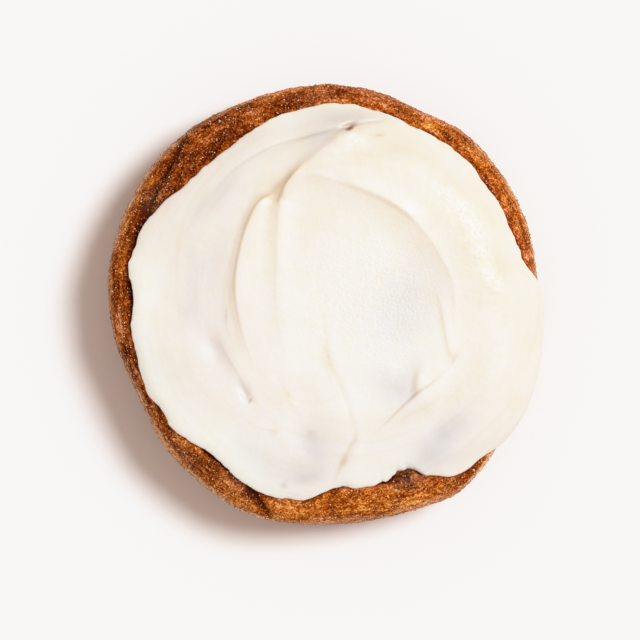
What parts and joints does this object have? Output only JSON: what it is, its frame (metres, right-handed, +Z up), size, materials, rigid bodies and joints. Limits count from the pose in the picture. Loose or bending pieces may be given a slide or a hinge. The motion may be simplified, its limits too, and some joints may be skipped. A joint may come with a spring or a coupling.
{
  "type": "cinnamon roll",
  "caption": "Round wound bun with a browned sugar crust and a flat base, spread on top with thick soft icing that runs over one side.",
  "frame": {"origin": "on the ground under the middle of the whole roll's box", "axes": "+Z up, out of the iced top; +Y away from the viewer of the overhead picture's lower edge"},
  "size_m": [0.1048, 0.1056, 0.0339],
  "materials": {
    "crust": "browned crust, matt, rough with cinnamon and grains of sugar",
    "icing": "soft cream-white icing with a satin sheen, spread in strokes"
  },
  "bodies": {
    "root": {"bun": "crust", "icing": "icing"}
  },
  "joints": []
}
